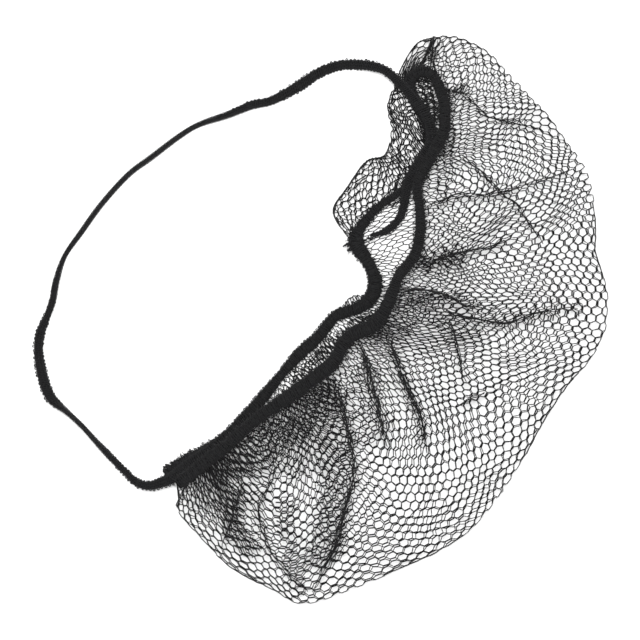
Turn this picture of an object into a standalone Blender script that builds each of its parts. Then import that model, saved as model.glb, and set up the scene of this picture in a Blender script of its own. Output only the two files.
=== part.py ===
"""A beard net lying flat on a table.

A hollow pouch of black net is gathered on an elastic rim band, and a longer elastic head band is
sewn in at both ends of the mouth. Metres, +Z up, the table at z = 0. +X points from the mouth
into the pouch and +Y runs along the mouth.
"""

import math

import bpy
import numpy as np

# The pouch, seen from above.
POUCH_REACH = 0.108  # from the mouth line to the outer edge
POUCH_LENGTH = 0.224  # along the mouth line
LOBE_REACH = 0.0265  # how far the upper flap puffs out behind the mouth line
MOUTH_LENGTH = 0.194  # from one end of the rim band to the other
MOUTH_BOW = 0.026  # how far the lips wander from the mouth line

# The head band's loop, on the other side of the mouth line.
HEAD_REACH = 0.090

# The elastic and the net.
BAND_WIDTH = 0.0044
BAND_THICKNESS = 0.0020
BAND_ROUNDING = 0.0006
NET_WALL = 0.0010
CLEARANCE = 0.00035  # between pieces that are sewn together or lie on each other

# How high the pouch stands.
FLAP_HEIGHT = 0.0029  # middle of the flap's wall over the table
EDGE_RADIUS = 0.0022  # the fold along the outer edge
MOUTH_RISE = 0.0034  # how far the upper lip is lifted over its sewn ends
CROWN = 0.0032  # how far the top layer bulges over a straight line from edge to lip
FOLD_HEIGHT = 0.0024
FOLD_WIDTH = 0.0042
GATHER_HEIGHT = 0.0009
GATHERS = 15  # soft pleats along the upper lip

# How finely the shapes are divided.
SECTIONS_PER_ROW = 2.6
FLAP_STEPS = 4
FLAP_TURN_STEPS = 5
FLOOR_STEPS = 8
EDGE_STEPS = 4
TOP_STEPS = 12
BAND_STEP = 0.0046


def table(columns, rows):
    """A table whose columns are read by name."""
    return np.array(rows, dtype=[(column, float) for column in columns.split()])


# One row for each section of the mouth and pouch, from the lower end of the mouth to the upper.
# The lips' x in shares of MOUTH_BOW and y of MOUTH_LENGTH, edge_x of POUCH_REACH, edge_y of
# POUCH_LENGTH. lift is the share of the stack's height that the lower lip has climbed, and rise
# the upper lip's share of MOUTH_RISE.
SECTIONS = table(
    "lower_x lower_y lift upper_x upper_y rise edge_x edge_y",
    [
        (-0.12, -0.468, 0.0, 0.01, -0.465, 0.0, 0.038, -0.424),
        (-0.04, -0.424, 0.0, 0.10, -0.421, 0.0, 0.108, -0.448),
        (0.09, -0.378, 0.0, 0.20, -0.373, 0.1, 0.327, -0.464),
        (0.18, -0.329, 0.0, 0.29, -0.328, 0.2, 0.502, -0.455),
        (0.25, -0.271, 0.0, 0.38, -0.270, 0.3, 0.637, -0.444),
        (0.31, -0.213, 0.0, 0.52, -0.215, 0.5, 0.757, -0.368),
        (0.34, -0.157, 0.0, 0.65, -0.172, 0.8, 0.867, -0.277),
        (0.36, -0.099, 0.0, 0.77, -0.118, 1.0, 0.971, -0.174),
        (0.45, -0.050, 0.0, 0.85, -0.070, 1.0, 0.990, -0.062),
        (0.48, 0.003, 0.0, 0.79, -0.037, 1.0, 0.967, 0.039),
        (0.61, 0.034, 0.0, 0.78, -0.003, 1.0, 0.952, 0.146),
        (0.73, 0.072, 0.0, 0.92, 0.048, 1.0, 0.964, 0.223),
        (0.67, 0.111, 0.0, 0.92, 0.115, 1.0, 0.920, 0.289),
        (0.41, 0.134, 0.0, 0.89, 0.151, 1.0, 0.850, 0.335),
        (0.05, 0.152, 0.0, 0.90, 0.202, 0.9, 0.745, 0.371),
        (-0.02, 0.182, 0.0, 0.75, 0.251, 0.7, 0.687, 0.413),
        (0.03, 0.237, 0.0, 0.50, 0.293, 0.4, 0.612, 0.451),
        (0.15, 0.298, 0.0, 0.35, 0.329, 0.1, 0.527, 0.483),
        (0.11, 0.352, 0.0, 0.28, 0.390, 0.0, 0.405, 0.500),
        (0.09, 0.405, 0.0, 0.23, 0.438, 0.0, 0.276, 0.518),
        (-0.08, 0.436, 0.0, 0.08, 0.472, 0.0, 0.141, 0.533),
        (-0.43, 0.457, 0.0, -0.13, 0.502, 0.0, 0.008, 0.541),
        (-0.70, 0.477, 0.05, -0.34, 0.522, 0.0, -0.090, 0.540),
        (-0.78, 0.502, 0.35, -0.47, 0.532, 0.0, -0.150, 0.528),
        (-0.75, 0.520, 0.8, -0.60, 0.532, 0.0, -0.202, 0.514),
    ],
)
# The rim band's top turn, between the last row's two lips, as shares of MOUTH_BOW, MOUTH_LENGTH
# and the stack's height.
RIM_TURN = (-0.68, 0.530, 0.95)

# Where the flap's own fold runs, by section number. x of LOBE_REACH, y of POUCH_LENGTH.
LOBES = table(
    "section x y",
    [
        (14.0, -0.12, 0.130),
        (15.0, -0.52, 0.154),
        (16.0, -0.56, 0.204),
        (17.0, -0.56, 0.261),
        (18.0, -0.39, 0.291),
        (19.0, -0.53, 0.332),
        (20.0, -0.71, 0.352),
        (21.0, -0.83, 0.374),
        (22.0, -0.91, 0.412),
        (23.0, -0.98, 0.448),
        (24.0, -1.00, 0.502),
    ],
)

# A small puff of net that peeps out behind the lower lip: section, half its span in sections and
# its reach as a share of LOBE_REACH.
PEEP = (10.4, 0.9, 0.09)

# The main creases of the top layer. Ends in shares of POUCH_REACH and POUCH_LENGTH, bow in shares
# of the crease's own length, width and height in shares of FOLD_WIDTH and FOLD_HEIGHT.
FOLDS = table(
    "from_x from_y to_x to_y bow width height",
    [
        (0.14, 0.350, 0.57, 0.322, 0.02, 0.9, 0.8),
        (0.19, 0.265, 0.49, 0.462, -0.05, 1.0, 1.0),
        (0.05, 0.452, 0.32, 0.488, -0.10, 0.9, 0.7),
        (0.27, 0.173, 0.45, 0.305, -0.04, 0.9, 0.8),
        (0.25, 0.108, 0.80, 0.266, -0.06, 1.1, 1.0),
        (0.44, 0.118, 0.65, 0.043, 0.00, 0.9, 0.6),
        (0.32, 0.026, 0.67, -0.100, 0.05, 1.0, 0.8),
        (0.28, -0.098, 0.64, -0.400, 0.12, 1.2, 1.0),
        (0.25, -0.270, 0.35, -0.410, -0.06, 1.1, 0.8),
    ],
)

# The head band's free loop, from the lower end of the mouth round to the upper. x of HEAD_REACH,
# y of MOUTH_LENGTH, turn in degrees from lying flat, lift as a share of the height it is sewn at.
HEAD_LOOP = table(
    "x y turn lift",
    [
        (-0.088, -0.498, 0, 0.85),
        (-0.149, -0.511, 0, 0.45),
        (-0.218, -0.508, 20, 0.10),
        (-0.309, -0.501, 60, 0.0),
        (-0.400, -0.493, 85, 0.0),
        (-0.493, -0.484, 90, 0.0),
        (-0.582, -0.479, 80, 0.0),
        (-0.665, -0.476, 60, 0.0),
        (-0.724, -0.463, 25, 0.0),
        (-0.786, -0.440, 0, 0.0),
        (-0.845, -0.412, 0, 0.0),
        (-0.884, -0.381, 0, 0.0),
        (-0.905, -0.343, 20, 0.0),
        (-0.925, -0.311, 50, 0.0),
        (-0.964, -0.273, 75, 0.0),
        (-0.998, -0.222, 80, 0.0),
        (-1.001, -0.162, 85, 0.0),
        (-1.001, -0.090, 85, 0.0),
        (-0.982, -0.010, 85, 0.0),
        (-0.944, 0.048, 75, 0.0),
        (-0.900, 0.115, 80, 0.0),
        (-0.858, 0.160, 85, 0.0),
        (-0.779, 0.212, 85, 0.0),
        (-0.723, 0.254, 80, 0.0),
        (-0.660, 0.288, 70, 0.0),
        (-0.600, 0.345, 40, 0.0),
        (-0.562, 0.392, 10, 0.0),
        (-0.507, 0.429, 0, 0.0),
        (-0.436, 0.454, 0, 0.25),
        (-0.364, 0.470, 0, 0.85),
        (-0.290, 0.473, 0, 1.03),
    ],
)
# The sections between which the head band's ends are sewn in over the lower lip.
HEAD_SEWN_LOW = (2.2, 0.3)
HEAD_SEWN_HIGH = (21.0, 17.4)

# The tail that is left over inside the mouth. x of MOUTH_BOW, y of MOUTH_LENGTH, lift as a share
# of the step down from the sewn end onto the floor layer.
TAIL = table(
    "x y lift",
    [
        (0.30, 0.272, 0.75),
        (0.34, 0.243, 0.20),
        (0.32, 0.214, 0.0),
        (0.24, 0.188, 0.0),
    ],
)


def layer(number):
    """Height of the middle of a band in the sewn stack, whose first band lies on the net."""
    first = NET_WALL + CLEARANCE + BAND_THICKNESS / 2
    return first + number * (BAND_THICKNESS + CLEARANCE)


def smooth_through(points, at):
    """A smooth curve through evenly numbered points, read at the given numbers."""
    points = np.asarray(points, float)
    last = len(points) - 1
    before = 2 * points[0] - points[1]
    after = 2 * points[-1] - points[-2]
    padded = np.vstack([before, points, after])
    at = np.clip(np.asarray(at, float), 0, last)
    start = np.minimum(at.astype(int), last - 1)
    t = (at - start)[:, None]
    a, b, c, d = (padded[start + offset] for offset in range(4))
    return 0.5 * (
        2 * b
        + (c - a) * t
        + (2 * a - 5 * b + 4 * c - d) * t**2
        + (3 * b - a - 3 * c + d) * t**3
    )


def even_steps(points, step):
    """The same curve with points a step apart."""
    lengths = np.linalg.norm(np.diff(points[:, :3], axis=0), axis=1)
    travelled = np.concatenate([[0], np.cumsum(lengths)])
    count = max(4, round(travelled[-1] / step)) + 1
    wanted = np.linspace(0, travelled[-1], count)
    return np.column_stack([np.interp(wanted, travelled, column) for column in points.T])


def lower_lip():
    """The lower lip's points, one for each section."""
    height = layer(0) + SECTIONS["lift"] * (layer(2) - layer(0))
    return np.column_stack(
        [SECTIONS["lower_x"] * MOUTH_BOW, SECTIONS["lower_y"] * MOUTH_LENGTH, height]
    )


def upper_lip():
    """The upper lip's points, one for each section."""
    height = layer(2) + SECTIONS["rise"] * MOUTH_RISE
    return np.column_stack(
        [SECTIONS["upper_x"] * MOUTH_BOW, SECTIONS["upper_y"] * MOUTH_LENGTH, height]
    )


def unit(vectors):
    return vectors / np.linalg.norm(vectors, axis=1, keepdims=True)


def side_of(path):
    """The level direction square to a path, to the left of its travel."""
    along = np.gradient(path[:, :2], axis=0)
    return unit(np.column_stack([-along[:, 1], along[:, 0]]))


def flap_fold(numbers, lip, outward):
    """Where the net turns under behind the lower lip: tucked close, or out at the flap's fold."""
    tuck = BAND_WIDTH / 2 + CLEARANCE + (layer(0) - NET_WALL / 2) / 2
    peep = PEEP[2] * LOBE_REACH * np.exp(-(((numbers - PEEP[0]) / PEEP[1]) ** 2))
    tucked = lip[:, :2] + outward * (tuck + peep)[:, None]
    lobe = np.column_stack([LOBES["x"] * LOBE_REACH, LOBES["y"] * POUCH_LENGTH])
    drawn = smooth_through(lobe, numbers - LOBES["section"][0])
    share = np.clip(numbers - LOBES["section"][0], 0, 1)[:, None]
    return tucked + (drawn - tucked) * np.minimum(1, 3 * share)


def crease_height(x, y):
    """How far the creases lift the top layer at a place."""
    height = np.zeros_like(x)
    for fold in FOLDS:
        start = np.array([fold["from_x"] * POUCH_REACH, fold["from_y"] * POUCH_LENGTH])
        end = np.array([fold["to_x"] * POUCH_REACH, fold["to_y"] * POUCH_LENGTH])
        run = end - start
        length = math.hypot(*run)
        along = ((x - start[0]) * run[0] + (y - start[1]) * run[1]) / length**2
        across = ((y - start[1]) * run[0] - (x - start[0]) * run[1]) / length
        middle = fold["bow"] * length * 4 * along * (1 - along)
        near = np.exp(-(((across - middle) / (fold["width"] * FOLD_WIDTH)) ** 2))
        ends = np.clip(4 * along, 0, 1) * np.clip(4 * (1 - along), 0, 1)
        height += fold["height"] * FOLD_HEIGHT * near * ends
    return np.minimum(height, FOLD_HEIGHT)


def pouch_section(number, start, fold, edge, end):
    """One section through the pouch: the flap, its turn, the floor, the outer turn and the top."""
    floor = NET_WALL / 2
    flap_run = fold[:2] - start[:2]
    flap_length = np.linalg.norm(flap_run)
    flap_way = flap_run / flap_length
    flap_top = start[2] + (FLAP_HEIGHT - start[2]) * min(1, flap_length / (4 * BAND_WIDTH))
    turn = (flap_top - floor) / 2
    straight = max(0, flap_length - turn)
    whole = straight + math.pi * turn
    split = max(straight, 0.35 * whole)
    travelled = np.concatenate(
        [
            np.linspace(0, split, FLAP_STEPS + 1)[:-1],
            np.linspace(split, whole, FLAP_TURN_STEPS + 1),
        ]
    )
    points = []
    for far in travelled:
        angle = max(0, far - straight) / turn
        reach = min(far, straight) + turn * math.sin(angle)
        share = min(far, straight) / straight if straight > 0 else 1
        high = start[2] + (flap_top - start[2]) * share - turn * (1 - math.cos(angle))
        points.append((*(start[:2] + flap_way * reach), high))

    under = start[:2] + flap_way * straight
    to_edge = edge[:2] - under
    radius = min(EDGE_RADIUS, 0.3 * np.linalg.norm(edge[:2] - end[:2]))
    outward = unit((edge[:2] - end[:2])[None])[0]
    centre = edge[:2] - outward * radius
    for step in range(1, FLOOR_STEPS):
        points.append((*(under + (centre - under) * step / FLOOR_STEPS), floor))
    for step in range(EDGE_STEPS + 1):
        angle = math.pi * step / EDGE_STEPS
        points.append(
            (*(centre + outward * radius * math.sin(angle)), floor + radius * (1 - math.cos(angle)))
        )
    edge_top = floor + 2 * radius
    span = np.linalg.norm(centre - end[:2])
    crown = CROWN * min(1, span / (0.5 * POUCH_REACH))
    for step in range(1, TOP_STEPS + 1):
        share = step / TOP_STEPS
        x, y = centre + (end[:2] - centre) * share
        high = edge_top + (end[2] - edge_top) * share + crown * math.sin(math.pi * share)
        pleat = math.sin(2 * math.pi * GATHERS * number / (len(SECTIONS) - 1))
        high += GATHER_HEIGHT * pleat * 4 * share**2 * (1 - share)
        fade = min(1, 5 * share) * min(1, 6 * (1 - share))
        high += fade * float(crease_height(np.array(x), np.array(y)))
        points.append((x, y, high))
    return points


def pouch_surface():
    """Every section's points, from the lower end of the mouth to the upper."""
    last = len(SECTIONS) - 1
    numbers = np.linspace(0, last, round(last * SECTIONS_PER_ROW) + 1)
    lower = smooth_through(lower_lip(), numbers)
    upper = smooth_through(upper_lip(), numbers)
    outline = np.column_stack(
        [SECTIONS["edge_x"] * POUCH_REACH, SECTIONS["edge_y"] * POUCH_LENGTH]
    )
    edge = smooth_through(outline, numbers)
    beside = BAND_WIDTH / 2 + CLEARANCE
    left = side_of(lower)
    right = -side_of(upper)
    start = lower + np.column_stack([left * beside, np.zeros(len(left))])
    end = upper + np.column_stack([right * beside, np.zeros(len(right))])
    fold = flap_fold(numbers, lower, left)
    return [
        pouch_section(*pieces) for pieces in zip(numbers, start, fold, edge, end)
    ]


def material(name, colour, roughness):
    made = bpy.data.materials.new(name)
    made.use_nodes = True
    shader = made.node_tree.nodes["Principled BSDF"]
    shader.inputs["Base Color"].default_value = (*colour, 1)
    shader.inputs["Roughness"].default_value = roughness
    shader.inputs["Metallic"].default_value = 0
    return made


def place(item, collection, frame, finish):
    item.parent = frame
    item.data.materials.append(finish)
    collection.objects.link(item)
    return item


def net_bag(collection, frame):
    """The pouch: one open wall of net, lofted through its sections and thickened."""
    grid = pouch_surface()
    across = len(grid[0])
    faces = [
        (row * across + i, row * across + i + 1, (row + 1) * across + i + 1, (row + 1) * across + i)
        for row in range(len(grid) - 1)
        for i in range(across - 1)
    ]
    mesh = bpy.data.meshes.new("net_bag")
    mesh.from_pydata([point for section in grid for point in section], [], faces)
    mesh.shade_smooth()
    bag = bpy.data.objects.new("net_bag", mesh)
    wall = bag.modifiers.new("wall", "SOLIDIFY")
    wall.thickness = NET_WALL
    wall.offset = 0
    return place(bag, collection, frame, material("net_black", (0.02, 0.02, 0.022), 0.75))


def band_profile(collection):
    """The elastic's flat section with eased corners, as a guide for the bands' curves."""
    half_width = BAND_WIDTH / 2
    half_height = BAND_THICKNESS / 2
    ease = BAND_ROUNDING
    corners = [
        (half_width, half_height - ease),
        (half_width, ease - half_height),
        (half_width - ease, -half_height),
        (ease - half_width, -half_height),
        (-half_width, ease - half_height),
        (-half_width, half_height - ease),
        (ease - half_width, half_height),
        (half_width - ease, half_height),
    ]
    curve = bpy.data.curves.new("band_profile", "CURVE")
    curve.dimensions = "2D"
    spline = curve.splines.new("POLY")
    spline.points.add(len(corners) - 1)
    for point, (x, y) in zip(spline.points, corners):
        point.co = (x, y, 0, 1)
    spline.use_cyclic_u = True
    guide = bpy.data.objects.new("band_profile", curve)
    guide.hide_render = True
    guide.display_type = "WIRE"
    collection.objects.link(guide)
    return guide


def band(name, route, turns, profile, collection, frame, finish):
    """A flat elastic along a route, turned from lying flat by the given angles."""
    curve = bpy.data.curves.new(name, "CURVE")
    curve.dimensions = "3D"
    curve.twist_mode = "Z_UP"
    curve.bevel_mode = "OBJECT"
    curve.bevel_object = profile
    curve.use_fill_caps = True
    spline = curve.splines.new("POLY")
    spline.points.add(len(route) - 1)
    for point, place_at, turn in zip(spline.points, route, turns):
        point.co = (*place_at, 1)
        point.tilt = turn
    return place(bpy.data.objects.new(name, curve), collection, frame, finish)


def rim_band(profile, collection, frame):
    """The gathering elastic: up the lower lip, round its top turn and down the upper lip."""
    turn = np.array(
        [
            RIM_TURN[0] * MOUTH_BOW,
            RIM_TURN[1] * MOUTH_LENGTH,
            layer(0) + RIM_TURN[2] * (layer(2) - layer(0)),
        ]
    )
    points = np.vstack([lower_lip(), turn, upper_lip()[::-1]])
    dense = smooth_through(points, np.linspace(0, len(points) - 1, 20 * len(points)))
    route = even_steps(dense, BAND_STEP)
    finish = material("rim_band_black", (0.016, 0.016, 0.018), 0.9)
    return band("rim_band", route, np.zeros(len(route)), profile, collection, frame, finish)


def sewn_stretch(first, last, count):
    """Part of the lower lip's route, lifted one layer up, where the head band is sewn on."""
    route = smooth_through(lower_lip(), np.linspace(first, last, count))
    route[:, 2] = layer(1)
    return route


def height_on_table(angle):
    """Height of a band's middle when it lies on the table, turned by an angle."""
    return BAND_WIDTH / 2 * np.abs(np.sin(angle)) + BAND_THICKNESS / 2 * np.cos(angle)


def head_band(profile, collection, frame):
    """The elastic round the head, from its lower sewn end to the tail inside the mouth."""
    angle = np.radians(HEAD_LOOP["turn"])
    floor = height_on_table(angle)
    height = floor + HEAD_LOOP["lift"] * (layer(1) - floor)
    loop = np.column_stack([HEAD_LOOP["x"] * HEAD_REACH, HEAD_LOOP["y"] * MOUTH_LENGTH, height])
    tail_height = layer(0) + TAIL["lift"] * (layer(1) - layer(0))
    tail = np.column_stack([TAIL["x"] * MOUTH_BOW, TAIL["y"] * MOUTH_LENGTH, tail_height])
    low = sewn_stretch(*HEAD_SEWN_LOW, 3)
    high = sewn_stretch(*HEAD_SEWN_HIGH, 5)
    points = np.vstack([low, loop, high, tail])
    turns = np.concatenate([np.zeros(len(low)), angle, np.zeros(len(high) + len(tail))])
    numbers = np.linspace(0, len(points) - 1, 20 * len(points))
    dense = smooth_through(np.column_stack([points, turns]), numbers)
    route = even_steps(dense, BAND_STEP)
    route[:, 2] = np.maximum(route[:, 2], height_on_table(route[:, 3]))
    finish = material("head_band_black", (0.016, 0.016, 0.018), 0.9)
    return band("head_band", route[:, :3], route[:, 3], profile, collection, frame, finish)


def centre_on_table(frame, pieces):
    """Moves the frame so that the whole object stands centred over the origin."""
    bpy.context.view_layer.update()
    graph = bpy.context.evaluated_depsgraph_get()
    corners = []
    for piece in pieces:
        evaluated = piece.evaluated_get(graph)
        mesh = evaluated.to_mesh()
        points = np.empty(3 * len(mesh.vertices), np.float32)
        mesh.vertices.foreach_get("co", points)
        evaluated.to_mesh_clear()
        points = points.reshape(-1, 3)
        corners += [points.min(axis=0), points.max(axis=0)]
    low = np.min(corners, axis=0)
    high = np.max(corners, axis=0)
    frame.location = (-(low[0] + high[0]) / 2, -(low[1] + high[1]) / 2, -low[2])


def build():
    for item in list(bpy.data.objects):
        bpy.data.objects.remove(item)
    collection = bpy.data.collections.new("beard_net")
    guides = bpy.data.collections.new("guides")
    for group in (collection, guides):
        bpy.context.scene.collection.children.link(group)
    frame = bpy.data.objects.new("beard_net_frame", None)
    collection.objects.link(frame)
    profile = band_profile(guides)
    pieces = [
        net_bag(collection, frame),
        rim_band(profile, collection, frame),
        head_band(profile, collection, frame),
    ]
    centre_on_table(frame, pieces)


build()
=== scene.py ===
import math

import bpy
import numpy as np
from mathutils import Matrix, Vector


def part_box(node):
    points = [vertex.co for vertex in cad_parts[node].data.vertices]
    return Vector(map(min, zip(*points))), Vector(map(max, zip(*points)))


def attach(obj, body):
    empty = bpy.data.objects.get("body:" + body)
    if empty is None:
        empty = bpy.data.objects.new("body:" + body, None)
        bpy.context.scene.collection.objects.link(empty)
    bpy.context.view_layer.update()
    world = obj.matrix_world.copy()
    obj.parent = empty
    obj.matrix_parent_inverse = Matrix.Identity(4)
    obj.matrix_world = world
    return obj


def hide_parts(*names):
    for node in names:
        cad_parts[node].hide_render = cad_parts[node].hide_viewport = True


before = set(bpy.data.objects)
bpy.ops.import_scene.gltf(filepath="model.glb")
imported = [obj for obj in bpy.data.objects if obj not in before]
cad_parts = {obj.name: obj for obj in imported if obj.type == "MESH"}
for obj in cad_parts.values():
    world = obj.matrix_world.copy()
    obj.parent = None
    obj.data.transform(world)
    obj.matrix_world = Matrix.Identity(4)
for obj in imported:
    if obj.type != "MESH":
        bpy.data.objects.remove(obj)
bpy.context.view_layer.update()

rng = np.random.default_rng(36)


# The mouth and the outline of the pouch. The net is cut from one piece of honeycomb tulle and
# gathered on an elastic, which lies as two lips: the lower one under the net's folded flap, the
# upper one on top. Every row is one section, in shares of the mouth's and the pouch's sizes.
POUCH_REACH = 0.108
POUCH_LENGTH = 0.224
MOUTH_BOW = 0.026
MOUTH_LENGTH = 0.194
MOUTH_RISE = 0.0034
BAND_WIDTH = 0.0044
BAND_THICKNESS = 0.0020
NET_WALL = 0.0010
CLEARANCE = 0.00035


def table(columns, rows):
    """A table whose columns are read by name."""
    return np.array(rows, dtype=[(column, float) for column in columns.split()])


SECTIONS = table("lower_x lower_y lift upper_x upper_y rise edge_x edge_y", [
    (-0.12, -0.468, 0, 0.01, -0.465, 0, 0.001, -0.423),
    (-0.04, -0.424, 0, 0.1, -0.421, 0, 0.108, -0.448),
    (0.09, -0.378, 0, 0.2, -0.373, 0.1, 0.327, -0.464),
    (0.18, -0.329, 0, 0.29, -0.328, 0.2, 0.502, -0.455),
    (0.25, -0.271, 0, 0.38, -0.27, 0.3, 0.637, -0.444),
    (0.31, -0.213, 0, 0.52, -0.215, 0.5, 0.757, -0.368),
    (0.34, -0.157, 0, 0.65, -0.172, 0.8, 0.867, -0.277),
    (0.36, -0.099, 0, 0.77, -0.118, 1, 0.971, -0.174),
    (0.45, -0.05, 0, 0.85, -0.07, 1, 0.99, -0.062),
    (0.48, 0.003, 0, 0.79, -0.037, 1, 0.967, 0.039),
    (0.61, 0.034, 0, 0.78, -0.003, 1, 0.952, 0.146),
    (0.73, 0.072, 0, 0.92, 0.048, 1, 0.964, 0.223),
    (0.67, 0.111, 0, 0.92, 0.115, 1, 0.92, 0.289),
    (0.41, 0.134, 0, 0.89, 0.151, 1, 0.85, 0.335),
    (0.05, 0.152, 0, 0.9, 0.202, 0.9, 0.745, 0.371),
    (-0.02, 0.182, 0, 0.75, 0.251, 0.7, 0.687, 0.413),
    (0.03, 0.237, 0, 0.5, 0.293, 0.4, 0.612, 0.451),
    (0.15, 0.298, 0, 0.35, 0.329, 0.1, 0.527, 0.483),
    (0.11, 0.352, 0, 0.28, 0.39, 0, 0.405, 0.5),
    (0.09, 0.405, 0, 0.23, 0.438, 0, 0.276, 0.518),
    (-0.08, 0.436, 0, 0.08, 0.472, 0, 0.141, 0.533),
    (-0.43, 0.457, 0, -0.13, 0.502, 0, -0.019, 0.544),
    (-0.7, 0.477, 0.05, -0.34, 0.522, 0, -0.099, 0.539),
    (-0.78, 0.502, 0.35, -0.47, 0.532, 0, -0.157, 0.526),
    (-0.75, 0.52, 0.8, -0.6, 0.532, 0, -0.205, 0.509),
])
LAST = len(SECTIONS) - 1


def layer(number):
    """Height of the middle of a band in the sewn stack, whose first band lies on the net."""
    first = NET_WALL + CLEARANCE + BAND_THICKNESS / 2
    return first + number * (BAND_THICKNESS + CLEARANCE)


def lifted(share, number):
    """Height at a share of the way from the first layer up to another."""
    return layer(0) + share * (layer(number) - layer(0))


def by_mouth(x, y, height):
    """Points from shares of the mouth's bow and length, and heights."""
    return np.column_stack([x * MOUTH_BOW, y * MOUTH_LENGTH, height])


def smooth_through(points, at):
    """A smooth curve through evenly numbered points, read at the given numbers."""
    points = np.asarray(points, float)
    last = len(points) - 1
    padded = np.vstack([2 * points[0] - points[1], points, 2 * points[-1] - points[-2]])
    at = np.clip(np.asarray(at, float), 0, last)
    start = np.minimum(at.astype(int), last - 1)
    t = (at - start)[:, None]
    a, b, c, d = (padded[start + offset] for offset in range(4))
    rising = 2 * b + (c - a) * t
    return 0.5 * (rising + (2 * a - 5 * b + 4 * c - d) * t**2 + (3 * b - a - 3 * c + d) * t**3)


def unit(vectors):
    """The same ways, each made one long."""
    return vectors / np.maximum(np.linalg.norm(vectors, axis=-1, keepdims=True), 1e-12)


def side_of(path):
    """The level direction square to a path, to the left of its travel."""
    along = np.gradient(path[:, :2], axis=0)
    return unit(np.column_stack([-along[:, 1], along[:, 0]]))


def in_space(ways):
    """Level ways over the table as ways in space."""
    return np.column_stack([ways, np.zeros(len(ways))])


def steps_of(path):
    """The lengths of the steps along a path."""
    return np.linalg.norm(np.diff(path, axis=0), axis=1)


def travel(steps):
    """How far along a path its points lie, from the steps between them."""
    return np.concatenate([[0], np.cumsum(steps)])


def in_pouch(places):
    """Places from shares of the pouch's reach and length."""
    return np.array(places) * (POUCH_REACH, POUCH_LENGTH)


lower_points = by_mouth(SECTIONS["lower_x"], SECTIONS["lower_y"], lifted(SECTIONS["lift"], 2))
upper_points = by_mouth(SECTIONS["upper_x"], SECTIONS["upper_y"], layer(2) + SECTIONS["rise"] * MOUTH_RISE)
edge_points = in_pouch(np.column_stack([SECTIONS["edge_x"], SECTIONS["edge_y"]]))


# The net's surface, before any thread is drawn on it. From the lower lip the net puffs out as a
# flap, turns under, runs over the table as the floor, turns up at the outer fold and comes back
# as the top layer to the upper lip. Its distances are counted from the outer fold.
COLUMNS = 196
ALONG = 320
FLAP_STEPS, UNDER_STEPS, FLOOR_STEPS, EDGE_STEPS, TOP_STEPS = 70, 20, 42, 13, 100
NET_FROM = 0.45
FLAP_HEIGHT = 0.0029
EDGE_RADIUS = 0.0022
CROWN = 0.0032
TUCK = 0.4 * BAND_WIDTH
LOBE_REACH = 0.0265
# Where the flap's fold lies, in shares of its own reach and of the pouch's length. Lower down the
# net also peeps out from under the lower lip at one section.
LOBES = table("section x y", [
    (14, -0.12, 0.13), (15, -0.52, 0.154), (16, -0.56, 0.204), (17, -0.56, 0.261), (18, -0.39, 0.291),
    (19, -0.53, 0.332), (20, -0.71, 0.352), (21, -0.83, 0.374), (22, -0.96, 0.436), (23, -0.98, 0.484),
    (24, -0.83, 0.51),
])
PEEP_SECTION, PEEP_WIDTH, PEEP_SHARE = 10.3, 0.8, 0.14
# How wide each lip's band lies and how far it sways out from the mouth, at every section, both in
# shares of the band's width. It is narrow where it is stretched and broad where it is bunched.
RIM_WIDTHS = table("lower sway upper lean", [
    (1.5, 0.34, 1.15, 0), (1.45, 0.28, 1.15, 0), (1.2, 0.15, 1.1, 0), (1, 0, 1, 0), (1.05, 0, 1, 0),
    (1, 0.14, 1.1, -0.05), (0.78, 0.18, 1.2, -0.12), (1.05, 0.05, 1.2, -0.08), (1, 0.14, 1.2, -0.05),
    (0.95, 0.18, 1.15, 0.05), (1, 0.05, 1.15, 0.25), (1.2, 0, 1.25, 0.6), (1.25, 0.15, 1, 0.12),
    (1, 0.08, 0.9, -0.12), (1.4, 0, 0.95, -0.1), (0.9, 0.08, 0.9, -0.12), (0.68, 0.18, 0.8, -0.1),
    (0.55, 0.05, 0.9, -0.48), (0.75, 0, 1, -0.48), (0.85, 0, 1, -0.5), (0.95, 0, 1, -0.42),
    (1, 0, 1, -0.35), (1, 0, 0.9, -0.4), (0.9, -0.25, 0.85, -0.45), (0.85, -0.42, 0.85, -0.45),
])
# What is known of a column's reach: the distances of its first and last point, of the flap's fold
# and of the place under the lower lip.
FIRST, FINAL, FLAP_END, UNDER_LIP = range(4)
# How many columns each stretch of the pouch takes up, against an even share of its length, which
# is taken in these shares from the outer fold and from each lip.
FOLD_SHARE, LIP_SHARE = 0.7, 0.15
CROWDING = table("section share", [(0, 1.0), (11, 1.0), (16, 1.1), (19.5, 1.1), (21.5, 1.7), (24, 1.7)])


def flap_fold(numbers, lip, outward):
    """Where the net turns under behind the lower lip: tucked close, or out at the flap's fold."""
    peep = PEEP_SHARE * LOBE_REACH * np.exp(-(((numbers - PEEP_SECTION) / PEEP_WIDTH) ** 2))
    tucked = lip[:, :2] + outward * (TUCK + peep)[:, None]
    lobe = np.column_stack([LOBES["x"] * LOBE_REACH, LOBES["y"] * POUCH_LENGTH])
    beyond = numbers - LOBES["section"][0]
    share = np.clip(beyond, 0, 1)[:, None]
    return tucked + (smooth_through(lobe, beyond) - tucked) * np.minimum(1, 3 * share)


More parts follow.
